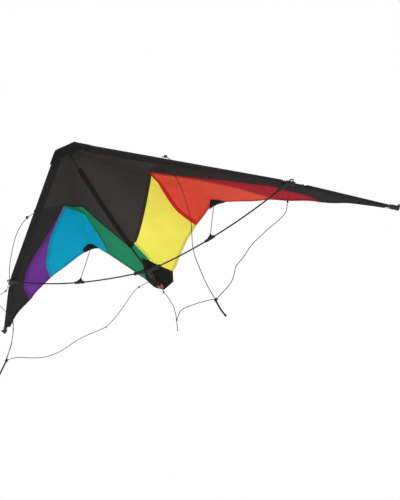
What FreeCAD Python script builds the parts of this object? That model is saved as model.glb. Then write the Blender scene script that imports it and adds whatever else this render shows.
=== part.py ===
"""Two-line sport kite: a delta sail on a spine, two leading-edge spars and two bowed lower spreaders.

Frame, in millimetres: +X to the right wing, +Y towards the tail, +Z towards the back of the sail, so the
bridle hangs down at -Z. The origin is the centre of the tee fitting on the spine. The right wing is modelled
and mirrored; the two bridles hang differently and have routes of their own.
"""
import FreeCAD, Part
import math
import os
from FreeCAD import Vector

# ---- driving dimensions ----
NOSE_Y = -363.0                                # the spine's nose end
TAIL_Y = 65.0                                  # the spine's tail end
SPINE_BOW = 9.5                                # how far the spine bows to the face between nose and tee
SPAR_NOSE = Vector(30, -357, 3)                # the leading edge's nose end
SPAR_BEND = Vector(402, -76, 45)               # where the leading edge bends, at the spreader's connector
SPAR_TIP = Vector(600, 112, 96)                # the wing tip
BEND_REACH = 40.0                              # length of each half of that bend
SPREADER_LOW = Vector(186, -34, -3)            # the spreader's axis under the standoff
STANDOFF_TOP = Vector(190, -36, 147)           # the standoff's upper end, under the trailing edge

SPINE_R = 2.0
SPAR_R = 2.0
SPREADER_R = 1.75
STANDOFF_R = 1.0
LINE_R = 0.75                                  # bridle line
PIGTAIL_R = 1.7                                # the thicker tow loop
FIT_GAP = 0.1                                  # a rod in its socket
SLEEVE_R, SLEEVE_WALL = 4.0, 0.8               # the cloth sleeve round the leading edge
SHEET = 0.8                                    # a cloth panel's solid, measured along Z
PATCH = 0.6                                    # a patch's
SEAM_GAP = 0.15                                # half the gap between neighbouring panels
PATCH_DROP = 1.2                               # a patch's middle lies this far under the sail's
CENTRE_GAP = 0.5                               # from the centre plane to a wing's cloth

# ---- the sail's shape: a cone from the nose with a soft ridge over the standoff ----
RIDGE_ANGLE, EDGE_ANGLE = 29.3, 54.5           # degrees from the spine
RIDGE_RISE, EDGE_RISE = 0.42, 0.09             # height over distance from the nose
RIDGE_SOFT = 0.03
SAIL_CLEAR = 3.8                               # the sail's middle over the spine's axis
LIFT, LIFT_Y, LIFT_SPREAD = 9.5, -22.0, 36.0   # the sail stands off the spine near the tee
CENTRE_FADE = 45.0

ORIGIN = Vector(0, 0, 0)
ACROSS = Vector(1, 0, 0)
UP = Vector(0, 0, 1)


def save(name, *shapes):
    """Writes one node. Several solids make one group."""
    solids = [s for shape in shapes for s in shape.Solids]
    whole = solids[0] if len(solids) == 1 else Part.makeCompound(solids)
    if not solids or not all(s.isValid() and s.Volume > 0 for s in solids):
        raise RuntimeError(name + " has a bad solid")
    whole.exportStep("parts/" + name + ".step")
    print(f"{name}: {len(solids)} solid(s), {whole.Volume:.1f} mm3")


def save_pair(name, *shapes):
    """Writes the right wing's node and its mirror image on the left."""
    save("right_" + name, *shapes)
    save("left_" + name, *[s.mirror(ORIGIN, ACROSS) for s in shapes])


def unit(v):
    return Vector(v).normalize()


def spine_height(y):
    """Height of the bowed spine's axis."""
    t = (y - NOSE_Y) / -NOSE_Y
    return -4 * SPINE_BOW * t * (1 - t)


def sail_height(x, y):
    """Height of the sail's middle surface. Out by the spar it levels off, to meet the spar's axis."""
    reach = math.hypot(x, y - NOSE_Y)
    angle = math.degrees(math.atan2(abs(x), y - NOSE_Y))
    inner = RIDGE_RISE * angle / RIDGE_ANGLE
    outer = RIDGE_RISE + (EDGE_RISE - RIDGE_RISE) * (angle - RIDGE_ANGLE) / (EDGE_ANGLE - RIDGE_ANGLE)
    outer = max(outer, EDGE_RISE)
    tent = (inner + outer - math.hypot(inner - outer, RIDGE_SOFT)) / 2
    lift = LIFT * math.exp(-(((y - LIFT_Y) / LIFT_SPREAD) ** 2))
    centre = spine_height(y) + SAIL_CLEAR + lift
    return reach * tent + centre * math.exp(-abs(x) / CENTRE_FADE)


# ---- rods, lines and fittings ----
def pipe(path, radius, inner=0.0):
    """A round rod along a wire, or a tube if inner is given."""
    start = path.Edges[0]
    place, heading = start.valueAt(start.FirstParameter), start.tangentAt(start.FirstParameter)

    def sweep(r):
        ring = Part.Wire([Part.Circle(place, heading, r).toShape()])
        return path.makePipeShell([ring], True, False)

    return sweep(radius).cut(sweep(inner)) if inner else sweep(radius)


def rounded(points, reaches):
    """Straight runs through the points joined by tangent arcs. reaches is how far each arc runs back from
    its corner. Returns the wire and the arcs' radii."""
    edges, radii, last = [], [], points[0]
    for i in range(1, len(points) - 1):
        corner, reach = points[i], reaches[i - 1]
        into, away = unit(corner - points[i - 1]), unit(points[i + 1] - corner)
        turn = into.getAngle(away)
        radius = reach / math.tan(turn / 2)
        first, third = corner - into * reach, corner + away * reach
        middle = corner + unit(away - into) * radius * (1 / math.cos(turn / 2) - 1)
        edges.append(Part.LineSegment(last, first).toShape())
        edges.append(Part.Arc(first, middle, third).toShape())
        radii.append(radius)
        last = third
    edges.append(Part.LineSegment(last, points[-1]).toShape())
    return Part.Wire(edges), radii


def line_tube(name, route, radius):
    """A free line: every corner's arc takes 0.45 of the shorter run beside it."""
    points = [Vector(*p) for p in route]
    runs = [(b - a).Length for a, b in zip(points, points[1:])]
    reaches = [0.45 * min(a, b) for a, b in zip(runs, runs[1:])]
    path, radii = rounded(points, reaches)
    tube = pipe(path, radius)
    section = math.pi * radius**2 * path.Length
    print(f"  {name}: length {path.Length:.0f}, runs {min(runs):.0f} to {max(runs):.0f}, "
          f"least radius {min(radii):.1f}, volume {tube.Volume / section:.3f} of section x length")
    return tube


def rod(a, b, radius, end_radius=None):
    """A round bar from a to b, tapered if end_radius is given."""
    heading = b - a
    if end_radius is None or end_radius == radius:
        return Part.makeCylinder(radius, heading.Length, a, heading)
    return Part.makeCone(radius, end_radius, heading.Length, a, heading)


def cap_on(end, heading, bore, radius, length, cover):
    """A vinyl cap with a round end, pushed over the last `cover` millimetres of a rod that ends at `end`."""
    outer = rod(end - heading * cover, end + heading * (length - cover - radius), radius)
    outer = outer.fuse(Part.makeSphere(radius, end + heading * (length - cover - radius)))
    return outer.cut(rod(end - heading * (cover + 1), end + heading * FIT_GAP, bore + FIT_GAP))


def knot(x, y, z, radius):
    return Part.makeSphere(radius, Vector(x, y, z))


# ---- cloth ----
def cloth_surface(drop=0.0):
    """The underside of a sheet of the right wing's cloth, lowered by drop."""
    reaches = [15 + 25 * i for i in range(31)]
    angles = [3 * i for i in range(23)]
    grid = []
    for reach in reaches:
        places = [(reach * math.sin(a), NOSE_Y + reach * math.cos(a)) for a in map(math.radians, angles)]
        grid.append([Vector(x, y, sail_height(x, y) - drop) for x, y in places])
    surface = Part.BSplineSurface()
    surface.interpolate(grid)
    return surface.toShape()


def smooth(points):
    """One smooth plan edge through the points, or a straight one through two."""
    places = [Vector(x, y, 0) for x, y in points]
    if len(places) == 2:
        return Part.LineSegment(*places).toShape()
    curve = Part.BSplineCurve()
    curve.interpolate(places)
    return curve.toShape()


def panel(surface, sides, gap=SEAM_GAP, thickness=SHEET):
    """Cuts from the surface the piece inside the plan outline whose sides are given in order round it, and
    thickens it along Z."""
    outline = Part.Wire(Part.sortEdges([smooth(s) for s in sides])[0])
    face = Part.Face(outline)
    if gap:
        face = Part.Face(face.makeOffset2D(-gap).Wires[0])
    face.translate(UP * -60)
    cut = surface.common(face.extrude(UP * 320)).Faces
    return Part.makeCompound([f.extrude(UP * thickness) for f in cut])


def inside_edge(base, toward, offset):
    """The plan line beside a spar's run, moved inwards by offset: its two ends."""
    heading = unit(Vector(toward.x - base.x, toward.y - base.y, 0))
    inwards = Vector(-heading.y, heading.x, 0) * offset
    return (base.x + inwards.x, base.y + inwards.y), (toward.x + inwards.x, toward.y + inwards.y)


EDGE_INSET = SLEEVE_R + 0.5
EDGE_NOSE, EDGE_BEND_IN = inside_edge(SPAR_NOSE, SPAR_BEND, EDGE_INSET)
EDGE_BEND_OUT = inside_edge(SPAR_BEND, SPAR_TIP, EDGE_INSET)[0]
EDGE_BEND = ((EDGE_BEND_IN[0] + EDGE_BEND_OUT[0]) / 2, (EDGE_BEND_IN[1] + EDGE_BEND_OUT[1]) / 2 + 1.5)
NOSE_LINE = -345.0                             # the cloth starts here, under the nose patch
NOSE_IN = (CENTRE_GAP, NOSE_LINE)
EDGE_JOIN_X = 165.0                            # where the centre panel's seam meets the leading edge
EDGE_SLOPE = (SPAR_BEND.y - SPAR_NOSE.y) / (SPAR_BEND.x - SPAR_NOSE.x)
EDGE_START = (EDGE_NOSE[0] + (NOSE_LINE - EDGE_NOSE[1]) / EDGE_SLOPE, NOSE_LINE)
EDGE_JOIN = (EDGE_JOIN_X, EDGE_NOSE[1] + (EDGE_JOIN_X - EDGE_NOSE[0]) * EDGE_SLOPE)
POINT_A = (118, -221)                          # where all the coloured panels start
POINT_B = (CENTRE_GAP, -83)                    # the centre panel's lower end
POINT_E = (CENTRE_GAP, 66)                     # the sail's tail
POINT_G = (134, -14)
POINT_P = (192, -33)                           # the standoff's corner in the trailing edge
POINT_J = (340, -5)
POINT_K = (442, 37)
TIP_OUT = (586, 105)
TIP_IN = (581, 111)

SEAM_AB = [POINT_A, (100, -198), (68, -155), (40, -120), (14, -92), POINT_B]
SEAM_AG = [POINT_A, (111, -180), (111, -130), (116, -75), POINT_G]
SEAM_AJ = [POINT_A, (168, -184), (216, -147), (262, -104), (303, -60), POINT_J]
SEAM_AK = [POINT_A, (180, -181), (245, -143), (335, -88), (388, -41), (420, -3), POINT_K]
HEM_EG = [POINT_E, (46, 48), (70, 27), (100, 4), POINT_G]
HEM_GP = [POINT_G, (152, -19), (172, -27), POINT_P]
HEM_PJ = [POINT_P, (242, -25), (290, -16), POINT_J]
HEM_JK = [POINT_J, (393, 13), POINT_K]
HEM_KT = [POINT_K, (480, 51), (520, 70), (552, 90), TIP_IN]


def tail_space():
    """Room round the tail cap and the tee, which no cloth enters."""
    ends = [Vector(0, TAIL_Y + y, spine_height(TAIL_Y + y)) for y in (-11, 22)]
    room = rod(*ends, 7.0)
    return room.fuse(rod(Vector(0, -11, spine_height(-11)), Vector(0, 26, spine_height(26)), 6.2))


def sail_panels():
    cloth = cloth_surface(SHEET / 2)
    centre = [[NOSE_IN, EDGE_START], [EDGE_START, EDGE_JOIN], [EDGE_JOIN, (141, -237), POINT_A], SEAM_AB,
              [POINT_B, NOSE_IN]]
    edge = [[POINT_A, (141, -237), EDGE_JOIN], [EDGE_JOIN, EDGE_BEND], [EDGE_BEND, TIP_OUT],
            [TIP_OUT, TIP_IN], HEM_KT, SEAM_AK]
    save_pair("centre_panel", panel(cloth, centre))
    save_pair("inner_panel", panel(cloth, [SEAM_AB, [POINT_B, POINT_E], HEM_EG, SEAM_AG]).cut(tail_space()))
    save_pair("middle_panel", panel(cloth, [SEAM_AG, HEM_GP, HEM_PJ, SEAM_AJ]))
    save_pair("outer_panel", panel(cloth, [SEAM_AJ, HEM_JK, SEAM_AK]))
    save_pair("edge_panel", panel(cloth, edge))


def patches():
    cloth = cloth_surface(PATCH_DROP + PATCH / 2)
    standoff = [[(174, -28), (192, -34)], [(192, -34), (214, -30)], [(214, -30), (208, -45)],
                [(208, -45), (187, -52)], [(187, -52), (174, -28)]]
    tail = [[(CENTRE_GAP, -38), (11, -14)], [(11, -14), (40, 50)], [(40, 50), (28, 78)],
            [(28, 78), (CENTRE_GAP, 82)], [(CENTRE_GAP, 82), (CENTRE_GAP, -38)]]
    save_pair("standoff_patch", panel(cloth, standoff, 0, PATCH))
    save_pair("tail_patch", panel(cloth, tail, 0, PATCH).cut(tail_space()))


# ---- the keel: what stays with the spine ----
def spine_path(start, end):
    places = [Vector(0, y, spine_height(y)) for y in (start, (start + end) / 2, end)]
    return Part.Wire([Part.Arc(*places).toShape()])


def keel():
    whole = spine_path(NOSE_Y, TAIL_Y)
    curve = whole.Edges[0]
    save("spine", pipe(whole, SPINE_R))

    nose_heading = curve.tangentAt(curve.FirstParameter) * -1
    tail_heading = curve.tangentAt(curve.LastParameter)
    nose_end, tail_end = curve.valueAt(curve.FirstParameter), curve.valueAt(curve.LastParameter)
    save("spine_nose_cap", cap_on(nose_end, nose_heading, SPINE_R, 3.0, 14, 10))
    save("tail_cap", cap_on(tail_end, tail_heading, SPINE_R, 6.4, 17, 9))

    sleeve_start, sleeve_end, half_width = -303.0, -84.0, 6.0
    path = spine_path(sleeve_start, sleeve_end)
    start = path.Edges[0].valueAt(path.Edges[0].FirstParameter)
    section = Part.makePolygon([start + Vector(x, 0, z) for x, z in (
        (-half_width, 1.6), (-half_width, 2.6), (half_width, 2.6), (half_width, 1.6), (2.6, -2.8),
        (-2.6, -2.8), (-half_width, 1.6))])
    cover = path.makePipeShell([section], True, False)
    save("spine_sleeve", cover.cut(pipe(spine_path(sleeve_start - 20, sleeve_end + 20), SPINE_R + FIT_GAP)))

    tee_front, tee_back, tee_r = -9.0, 24.0, 5.6
    core = rod(*[Vector(0, y, spine_height(y)) for y in (tee_front, tee_back)], tee_r)
    core = core.cut(pipe(spine_path(tee_front - 10, tee_back + 10), SPINE_R + FIT_GAP))
    save("tee_core", core)

    plate_low, plate_thick, front_half = -6.0, 0.8, 22.0
    outline = Part.makePolygon([Vector(x, y, plate_low) for x, y in (
        (-52, -347), (-24, -368), (24, -368), (52, -347), (14, -326), (-14, -326), (-52, -347))])
    plate = Part.Face(outline).extrude(UP * plate_thick)
    front = Part.makeBox(2 * front_half, plate_thick, 10.0, Vector(-front_half, -368, plate_low))
    save("nose_patch", plate.fuse(front).removeSplitter())


# ---- the right wing's frame ----
def spar_path():
    return rounded([SPAR_NOSE, SPAR_BEND, SPAR_TIP], [BEND_REACH])[0]


def spreader_curve():
    """The bowed spreader's axis, from inside the tee's arm to inside the connector's socket."""
    return Part.Arc(Vector(11, -2.2, -1.4), SPREADER_LOW, Vector(392, -77.5, 42.5)).toShape()


def wing_frame():
    path = spar_path()
    first, bend, last = path.Edges
    into, away = first.tangentAt(first.FirstParameter), last.tangentAt(last.FirstParameter)
    middle = bend.valueAt((bend.FirstParameter + bend.LastParameter) / 2)
    across = bend.tangentAt((bend.FirstParameter + bend.LastParameter) / 2)
    outwards = unit(Vector(across.y, -across.x, 0))
    save_pair("leading_edge_spar", pipe(path, SPAR_R))

    gap_in, gap_out = 17.5, 33.0                   # the sleeve is cut away round the connector
    sleeve_path = rounded([SPAR_NOSE + into * 9, SPAR_BEND, SPAR_TIP - away * 17], [BEND_REACH])[0]
    sleeve = pipe(sleeve_path, SLEEVE_R, SLEEVE_R - SLEEVE_WALL)
    opening = rod(middle - across * gap_in, middle + across * gap_out, 2.5 * SLEEVE_R)
    save_pair("leading_edge_sleeve", sleeve.cut(opening))
    save_pair("spar_nose_cap", cap_on(SPAR_NOSE, into * -1, SPAR_R, 3.0, 12, 8))

    nock_r, neck_r, slot_half = 6.0, 3.0, 1.4
    nock = rod(SPAR_TIP - away * 14, SPAR_TIP - away * 6, neck_r, 4.2)
    nock = nock.fuse(rod(SPAR_TIP - away * 6, SPAR_TIP + away * 14, 4.2, nock_r))
    nock = nock.cut(rod(SPAR_TIP - away * 16, SPAR_TIP + away * FIT_GAP, SPAR_R + FIT_GAP))
    side = unit(away.cross(UP))
    prong = Part.makeTorus(3.0, 1.7, SPAR_TIP + away * 11.5 + side * 6.8, side.cross(away))
    slot = Part.makeBox(40, 14, 2 * slot_half, Vector(-20, 2, -slot_half))
    slot.Placement = FreeCAD.Placement(SPAR_TIP, FreeCAD.Rotation(side, away, side.cross(away)))
    save_pair("wingtip_nock", nock.cut(slot).removeSplitter().fuse(prong))
    lash = [SPAR_TIP + away * s + side * n for s, n in (
        (-16, -4.9), (-3, -6.0), (6.3, -6.3), (6.3, 6.3), (-3, 6.0), (-16, 4.9))]
    lash_path = rounded(lash, [4, 4, 4, 4])[0]
    save_pair("wingtip_lashing", pipe(lash_path, 0.8))

    collar = rod(middle - across * 10, middle + across * 10, 4.8)
    spreader = spreader_curve()
    arrive = spreader.tangentAt(spreader.LastParameter)
    end = spreader.valueAt(spreader.LastParameter)
    socket = rod(end - arrive * 24, end + arrive * 7, 3.6, 4.2)
    eye_centre = middle + outwards * 6.2
    eye = Part.makeTorus(3.8, 1.5, eye_centre, UP)
    connector = collar.fuse(socket).fuse(eye)
    connector = connector.cut(pipe(path, SPAR_R + FIT_GAP))
    connector = connector.cut(pipe(Part.Wire([spreader]), SPREADER_R + FIT_GAP))
    save_pair("edge_connector", connector)
    stops = [rod(middle + across * s, middle + across * (s + 2.4), 3.5) for s in (-16.4, 28.5)]
    save_pair("connector_stops", *[s.cut(pipe(path, SPAR_R + FIT_GAP)) for s in stops])

    save_pair("lower_spreader", pipe(Part.Wire([spreader]), SPREADER_R))
    start = spreader.valueAt(spreader.FirstParameter)
    leave = spreader.tangentAt(spreader.FirstParameter)
    arm = rod(start - leave * 3.8, start + leave * 25, 6.0, 3.5)
    arm = arm.fuse(rod(start + leave * 22, start + leave * 26, 4.3))
    save_pair("tee_arm", arm.cut(pipe(Part.Wire([spreader]), SPREADER_R + FIT_GAP)).removeSplitter())


def standoff():
    spreader = spreader_curve()
    at = spreader.Curve.parameter(SPREADER_LOW)
    axis = spreader.tangentAt(at)
    print(f"  standoff pivot {tuple(SPREADER_LOW)}, spreader heading "
          f"({axis.x:.4f}, {axis.y:.4f}, {axis.z:.4f})")
    upright = unit(STANDOFF_TOP - SPREADER_LOW)
    half, bore = 13.0, SPREADER_R + 0.22
    grip = rod(SPREADER_LOW - axis * half, SPREADER_LOW + axis * half, 3.5)
    stem = rod(SPREADER_LOW, SPREADER_LOW + upright * 17, 3.2, 2.1)
    web = Part.Face(Part.makePolygon([SPREADER_LOW + axis * a + upright * b for a, b in (
        (-11, 2.4), (11, 2.4), (1.6, 14), (-1.6, 14), (-11, 2.4))]))
    thick = unit(axis.cross(upright))
    web.translate(thick * -1.1)
    connector = grip.fuse(stem).fuse(web.extrude(thick * 2.2))
    connector = connector.cut(rod(SPREADER_LOW - axis * 20, SPREADER_LOW + axis * 20, bore))
    foot, top = SPREADER_LOW + upright * 6, STANDOFF_TOP - upright * 1.0
    connector = connector.cut(rod(foot, SPREADER_LOW + upright * 20, STANDOFF_R + FIT_GAP))
    save_pair("standoff_connector", connector.removeSplitter())
    save_pair("standoff", rod(foot + upright * FIT_GAP, top, STANDOFF_R))
    save_pair("standoff_cap", cap_on(top, upright, STANDOFF_R, 2.0, 8, 6))


# ---- bridles: hand-laid routes, in millimetres ----
RIGHT_BRIDLE = {
    "upper_leg": [(171, -249, 13), (181, -229, 4), (190, -208, -12), (197, -193, -39), (203, -179, -74),
                  (210, -168, -112), (213, -161, -153), (215, -157, -192), (220, -149, -223),
                  (228, -129, -255), (236, -112, -282), (242, -100, -294)],
    "lower_leg": [(399, -80, 33), (395, -77, 14), (390, -73, -10), (387, -71, -31), (384, -70, -48),
                  (377, -71, -64), (365, -75, -83), (349, -80, -103), (331, -83, -124), (308, -89, -158),
                  (295, -91, -189), (285, -93, -205), (279, -94, -216), (277, -92, -225), (274, -91, -241),
                  (268, -91, -258), (255, -95, -279), (245, -97, -294)],
    "inner_leg": [(5, 27, -9), (13, 23, -25), (28, 15, -49), (43, 6, -75), (59, -2, -104), (78, -11, -137),
                  (94, -20, -167), (108, -27, -193), (118, -32, -219), (124, -34, -239), (126, -34, -251),
                  (130, -36, -266), (134, -37, -285)],
    "adjuster_line": [(128, -37, -252), (131, -38, -243), (133, -39, -234), (141, -43, -232),
                      (155, -50, -237), (174, -60, -248), (196, -71, -260), (216, -82, -274),
                      (232, -91, -285), (241, -96, -294)],
    "tow_pigtail": [(243, -97, -298), (247, -94, -309), (251, -89, -319), (257, -83, -328)],
}
LEFT_BRIDLE = {
    "upper_leg": [(-171, -250, 13), (-176, -258, -6), (-184, -258, -31), (-193, -254, -56),
                  (-200, -243, -82), (-208, -228, -111), (-213, -213, -137), (-216, -194, -163),
                  (-221, -168, -188), (-225, -142, -215), (-229, -120, -244), (-235, -108, -269),
                  (-242, -99, -293)],
    "lower_leg": [(-399, -80, 33), (-394, -81, 15), (-391, -83, -3), (-400, -87, -19), (-403, -91, -37),
                  (-394, -92, -54), (-372, -90, -74), (-342, -88, -103), (-315, -87, -132),
                  (-293, -87, -161), (-279, -88, -188), (-268, -90, -217), (-255, -93, -248),
                  (-249, -96, -273), (-245, -98, -291)],
    "inner_leg": [(-5, 27, -9), (-14, 19, -22), (-27, 11, -38), (-37, 9, -54), (-46, 8, -74),
                  (-54, 8, -96), (-65, 8, -118), (-76, 7, -140), (-87, 5, -158)],
    "adjuster_line": [(-89, 4, -161), (-101, -3, -174), (-116, -14, -190), (-131, -24, -208),
                      (-145, -31, -227), (-159, -37, -246), (-176, -45, -261), (-194, -57, -272),
                      (-213, -74, -279), (-230, -89, -284), (-241, -97, -294)],
    "tow_pigtail": [(-243, -97, -298), (-248, -94, -309), (-254, -90, -319), (-261, -85, -328)],
}


def bridle(side, routes, knots):
    for name, route in routes.items():
        radius = PIGTAIL_R if name == "tow_pigtail" else LINE_R
        save(side + name, line_tube(side + name, route, radius))
    hitch_way = unit(SPAR_BEND - SPAR_NOSE)
    t = (171 - SPAR_NOSE.x) / (SPAR_BEND.x - SPAR_NOSE.x)
    hitch = Part.makeTorus(SLEEVE_R + 0.85, LINE_R, SPAR_NOSE + (SPAR_BEND - SPAR_NOSE) * t, hitch_way)
    if side == "left_":
        hitch = hitch.mirror(ORIGIN, ACROSS)
    save(side + "bridle_knots", hitch, *[knot(*k) for k in knots])


os.makedirs("parts", exist_ok=True)
keel()
wing_frame()
standoff()
sail_panels()
patches()
bridle("right_", RIGHT_BRIDLE, [(389, -72, -19, 1.8), (59, -2, -106, 1.7), (127, -35, -253, 2.2),
                                (243, -97, -296, 2.9), (257, -83, -328, 2.4)])
bridle("left_", LEFT_BRIDLE, [(-391, -83, -3, 1.8), (-27, 11, -40, 1.7), (-88, 4, -158, 1.6),
                              (-243, -97, -296, 2.9), (-261, -85, -328, 2.4)])
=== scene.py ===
"""Two-line sport kite: cloth, rods, fittings and bridle, drawn over its CAD frame, in metres.

+X is the right wing, +Y the tail, +Z the back of the sail. The bridle hangs down at -Z.
"""
import math

import bpy
from bpy.props import FloatProperty, FloatVectorProperty, PointerProperty
from mathutils import Matrix, Vector
from mathutils.kdtree import KDTree
from mathutils.geometry import delaunay_2d_cdt, interpolate_bezier


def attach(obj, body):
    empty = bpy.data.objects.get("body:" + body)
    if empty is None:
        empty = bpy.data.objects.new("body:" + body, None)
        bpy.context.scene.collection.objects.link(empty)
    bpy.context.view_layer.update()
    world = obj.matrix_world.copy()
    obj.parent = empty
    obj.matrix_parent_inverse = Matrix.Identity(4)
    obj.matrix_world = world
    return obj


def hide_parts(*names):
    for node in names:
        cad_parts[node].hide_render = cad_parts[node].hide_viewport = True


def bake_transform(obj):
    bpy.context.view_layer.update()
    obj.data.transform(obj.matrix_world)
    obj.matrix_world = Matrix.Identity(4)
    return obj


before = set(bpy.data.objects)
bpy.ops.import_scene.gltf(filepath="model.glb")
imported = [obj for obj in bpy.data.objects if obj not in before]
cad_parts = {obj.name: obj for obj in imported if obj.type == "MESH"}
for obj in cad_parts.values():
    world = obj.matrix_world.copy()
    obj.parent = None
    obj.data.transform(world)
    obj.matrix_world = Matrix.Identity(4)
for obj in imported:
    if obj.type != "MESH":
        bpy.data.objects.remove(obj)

bl_info = {
    "name": "Two-line sport kite",
    "version": (1, 0, 0),
    "blender": (4, 5, 0),
    "location": "View3D > Sidebar > Kite",
    "description": "Draws a delta sport kite's cloth, rods, fittings and slack bridle",
    "category": "Object",
}

# ---- places on the frame ----
NOSE_Y = -0.363                                # the spine's nose end
SPINE_BOW = 0.0095                             # how far the spine bows towards the face
SPAR_NOSE = Vector((0.030, -0.357, 0.003))     # the right leading edge's nose end
SPAR_BEND = Vector((0.402, -0.076, 0.045))     # where it bends
SPAR_TIP = Vector((0.600, 0.112, 0.096))       # the wing tip
RIDGE_ANGLE, EDGE_ANGLE = 29.3, 54.5           # degrees from the spine: over the standoff, and at the spar
RIDGE_RISE, EDGE_RISE = 0.42, 0.09             # the sail's height there, over the distance from the nose
RIDGE_SOFT = 0.03                              # how softly the two slopes meet at the ridge
SAIL_CLEAR = 0.0038                            # the sail's middle over the spine's axis
LIFT, LIFT_Y, LIFT_SPREAD = 0.0095, -0.022, 0.036   # the sail stands off the spine near the tee
CENTRE_FADE = 0.045                            # how far out the spine's height is felt
SIDES = {"right": 1, "left": -1}

# ---- the sail's plan, right wing ----
POINT_A = (0.118, -0.221)                      # where the coloured panels start
POINT_B = (0.0, -0.083)                        # the centre panel's lower end
POINT_E = (0.0, 0.066)                         # the sail's tail
POINT_G = (0.134, -0.014)
POINT_P = (0.192, -0.033)                      # the standoff's corner in the trailing edge
POINT_J = (0.340, -0.005)
POINT_K = (0.442, 0.037)
TIP_OUT = (0.586, 0.105)
TIP_IN = (0.581, 0.111)
NOSE_IN = (0.0, -0.355)
EDGE_START = (0.0252, -0.355)
EDGE_JOIN = (0.165, -0.2494)                   # where the centre panel's seam meets the leading edge
EDGE_BEND = (0.3991, -0.0713)

SEAM_AB = [POINT_A, (0.100, -0.198), (0.068, -0.155), (0.040, -0.120), (0.014, -0.092), POINT_B]
SEAM_AG = [POINT_A, (0.111, -0.180), (0.111, -0.130), (0.116, -0.075), POINT_G]
SEAM_AJ = [POINT_A, (0.168, -0.184), (0.216, -0.147), (0.262, -0.104), (0.303, -0.060), POINT_J]
SEAM_AK = [POINT_A, (0.180, -0.181), (0.245, -0.143), (0.335, -0.088), (0.388, -0.041), (0.420, -0.003),
           POINT_K]
SEAM_OUT = [EDGE_JOIN, (0.141, -0.237), POINT_A]
HEM_EG = [POINT_E, (0.046, 0.048), (0.070, 0.027), (0.100, 0.004), POINT_G]
HEM_GP = [POINT_G, (0.152, -0.019), (0.172, -0.027), POINT_P]
HEM_PJ = [POINT_P, (0.242, -0.025), (0.290, -0.016), POINT_J]
HEM_JK = [POINT_J, (0.393, 0.013), POINT_K]
HEM_KT = [POINT_K, (0.480, 0.051), (0.520, 0.070), (0.552, 0.090), TIP_IN]
CREASE = [POINT_B, POINT_E]

PANELS = {
    "centre_panel": [[NOSE_IN, EDGE_START], [EDGE_START, EDGE_JOIN], SEAM_OUT, SEAM_AB, [POINT_B, NOSE_IN]],
    "inner_panel": [SEAM_AB, CREASE, HEM_EG, SEAM_AG],
    "middle_panel": [SEAM_AG, HEM_GP, HEM_PJ, SEAM_AJ],
    "outer_panel": [SEAM_AJ, HEM_JK, SEAM_AK],
    "edge_panel": [SEAM_OUT, [EDGE_JOIN, EDGE_BEND], [EDGE_BEND, TIP_OUT], [TIP_OUT, TIP_IN], HEM_KT,
                   SEAM_AK],
}
PATCHES = {
    "standoff_patch": [(0.172, -0.025), (0.190, -0.0225), (0.204, -0.0245), (0.220, -0.029), (0.207, -0.046),
                       (0.187, -0.052)],
    "tail_patch": [(0.0, -0.038), (0.011, -0.014), (0.040, 0.050), (0.028, 0.078), (0.0, 0.082)],
}
NOSE_CORNER = (0.024, -0.368)                  # the nose patch folds up beyond this corner
NOSE_OUTLINE = [(0.0, -0.352), (0.020, -0.351), (0.052, -0.347), (0.0577, -0.3546), (0.0285, -0.3765),
                (0.0, -0.3765)]
CUT_FROM, CUT_TO = -0.0175, 0.033              # along the spar from its bend: no sleeve there, only flaps

STRIP_DROP = 0.0007                            # seams and hems lie this far on the panel's face side
STRIP_THICKNESS = 0.0003
PATCH_DROP = 0.0015
PATCH_THICKNESS = 0.0007
PATCH_SPACING = 0.0025

# ---- threads in the cloth ----
THREAD_WIDTH = 0.0007                          # a heavy thread of the grid
STITCH_ROW, STITCH_HALF = 0.0024, 0.0004       # from the strip's middle line, and half a row's width
STITCH_LENGTH, STITCH_SHARE = 0.003, 0.72      # one stitch with its gap, and the thread's share of it

# ---- bridle routes ----
RIGHT_BRIDLE = {
    "upper_leg": [(0.171, -0.249, 0.013), (0.181, -0.229, 0.004), (0.19, -0.208, -0.012),
                  (0.197, -0.193, -0.039), (0.203, -0.179, -0.074), (0.21, -0.168, -0.112),
                  (0.213, -0.161, -0.153), (0.215, -0.157, -0.192), (0.22, -0.149, -0.223),
                  (0.228, -0.129, -0.255), (0.236, -0.112, -0.282), (0.242, -0.1, -0.294)],
    "lower_leg": [(0.399, -0.08, 0.033), (0.395, -0.077, 0.014), (0.39, -0.073, -0.01),
                  (0.387, -0.071, -0.031), (0.384, -0.07, -0.048), (0.377, -0.071, -0.064),
                  (0.365, -0.075, -0.083), (0.349, -0.08, -0.103), (0.331, -0.083, -0.124),
                  (0.308, -0.089, -0.158), (0.295, -0.091, -0.189), (0.285, -0.093, -0.205),
                  (0.279, -0.094, -0.216), (0.277, -0.092, -0.225), (0.274, -0.091, -0.241),
                  (0.268, -0.091, -0.258), (0.255, -0.095, -0.279), (0.245, -0.097, -0.294)],
    "inner_leg": [(0.005, 0.027, -0.009), (0.013, 0.023, -0.025), (0.028, 0.015, -0.049),
                  (0.043, 0.006, -0.075), (0.059, -0.002, -0.104), (0.078, -0.011, -0.137),
                  (0.094, -0.02, -0.167), (0.108, -0.027, -0.193), (0.118, -0.032, -0.219),
                  (0.124, -0.034, -0.239), (0.126, -0.034, -0.251), (0.13, -0.036, -0.266),
                  (0.134, -0.037, -0.285)],
    "adjuster_line": [(0.128, -0.037, -0.252), (0.131, -0.038, -0.243), (0.133, -0.039, -0.234),
                      (0.141, -0.043, -0.232), (0.155, -0.05, -0.237), (0.174, -0.06, -0.248),
                      (0.196, -0.071, -0.26), (0.216, -0.082, -0.274), (0.232, -0.091, -0.285),
                      (0.241, -0.096, -0.294)],
    "tow_pigtail": [(0.243, -0.097, -0.298), (0.247, -0.094, -0.309), (0.251, -0.089, -0.319),
                    (0.257, -0.083, -0.328)],
}
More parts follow.
